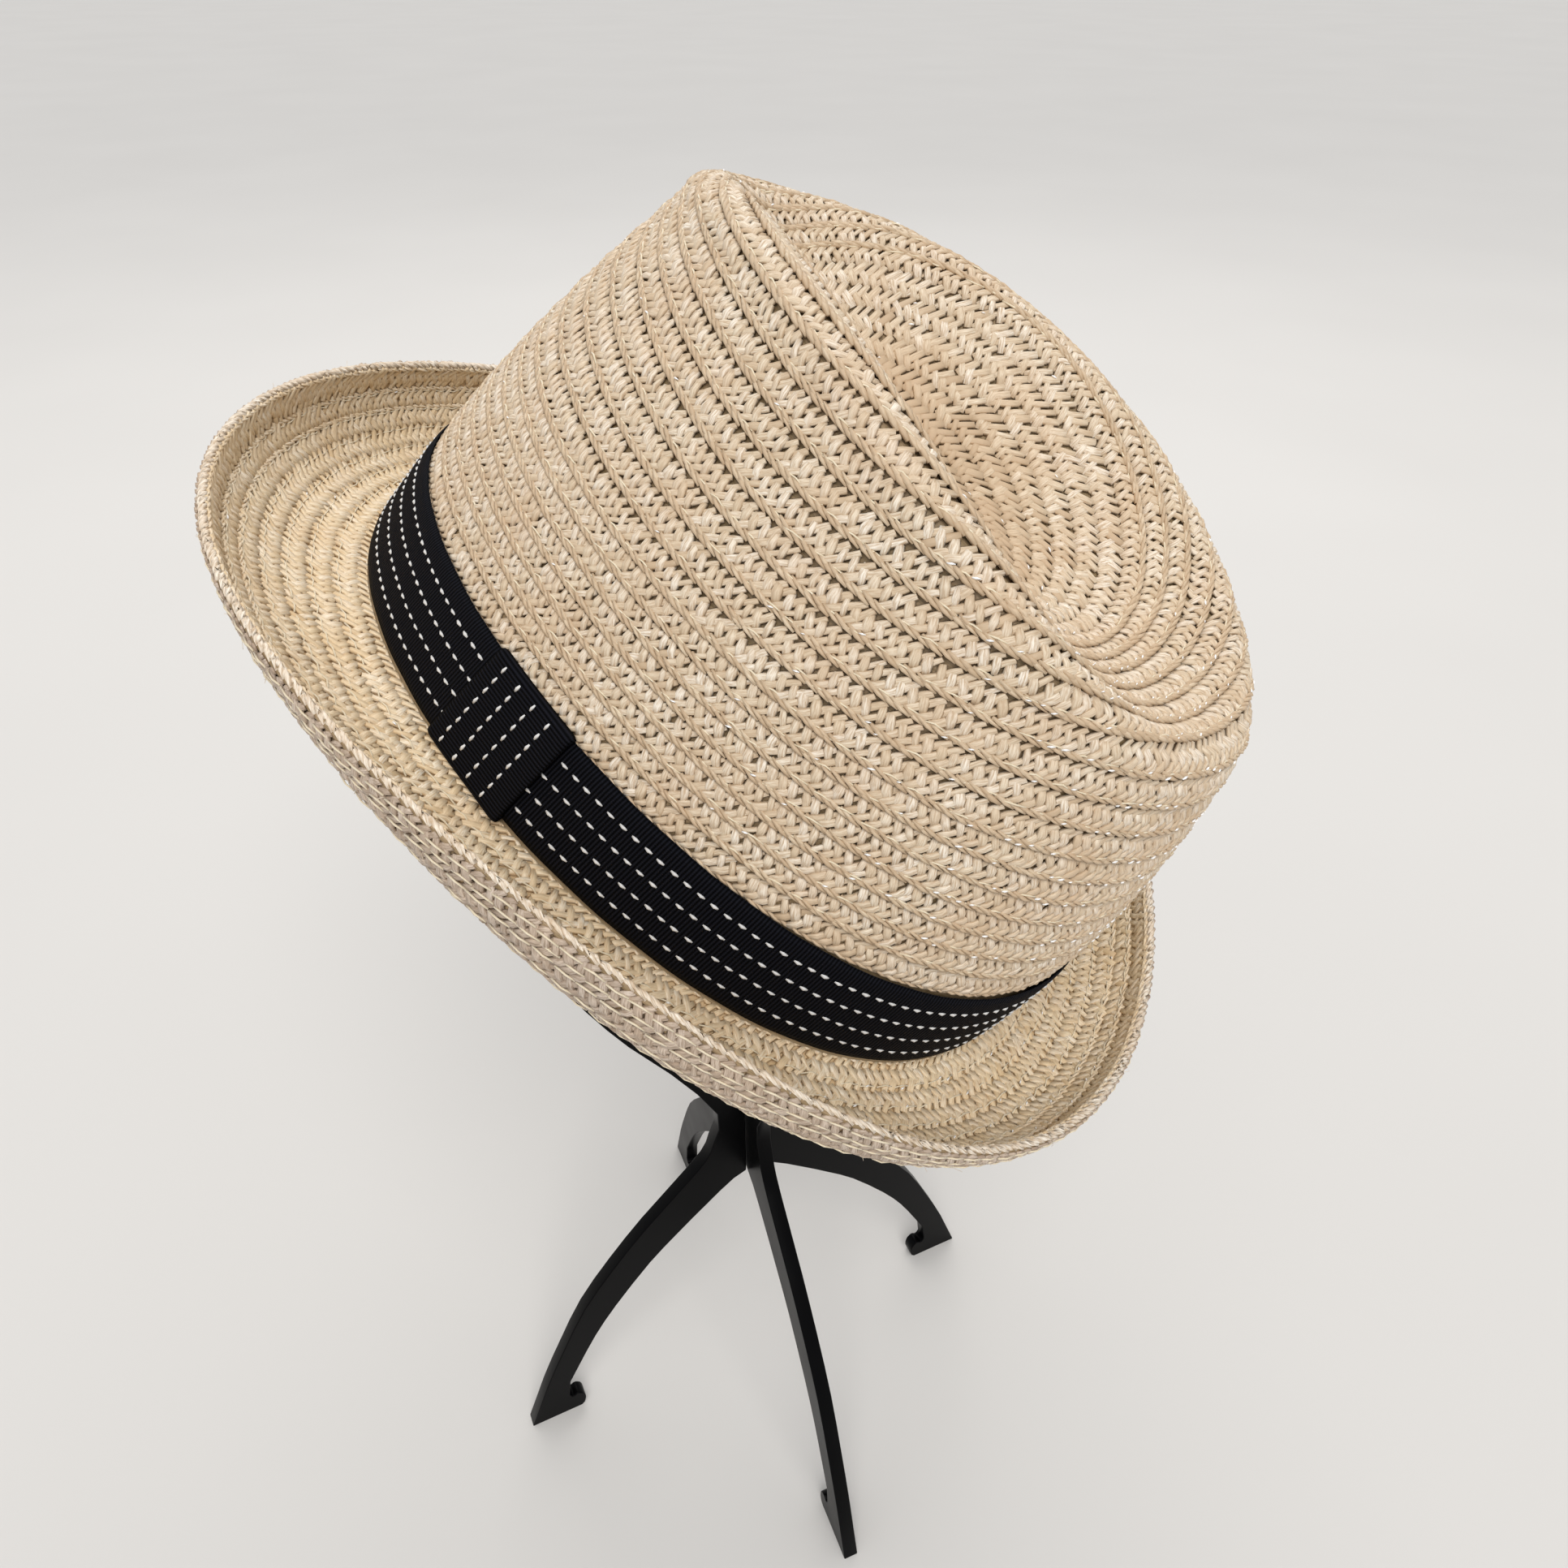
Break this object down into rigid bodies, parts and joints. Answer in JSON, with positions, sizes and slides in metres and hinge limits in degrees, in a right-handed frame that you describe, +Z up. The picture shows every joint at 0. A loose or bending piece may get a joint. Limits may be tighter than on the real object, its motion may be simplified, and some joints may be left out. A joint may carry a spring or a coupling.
{
  "type": "straw fedora on a folding hat stand",
  "caption": "Straw fedora with a pinched crown, curled brim and stitched black ribbon, resting on a slotted plastic stand.",
  "frame": {"origin": "on the floor, in the middle of the box round hat and stand", "axes": "+Z up, X along the stand's wide blade, +Y roughly where the hat's front points"},
  "size_m": [0.22, 0.2458, 0.3752],
  "materials": {
    "straw_braid": "natural paper straw, plaited and sewn in rows",
    "grosgrain_ribbon": "ribbed black ribbon with white running stitches",
    "black_plastic": "moulded black plastic, satin with bright edges"
  },
  "bodies": {
    "root": {"crown": "straw_braid", "brim": "straw_braid", "band": "grosgrain_ribbon", "band_loop": "grosgrain_ribbon", "stand_blade_wide": "black_plastic", "stand_blade_cross": "black_plastic"}
  },
  "joints": []
}
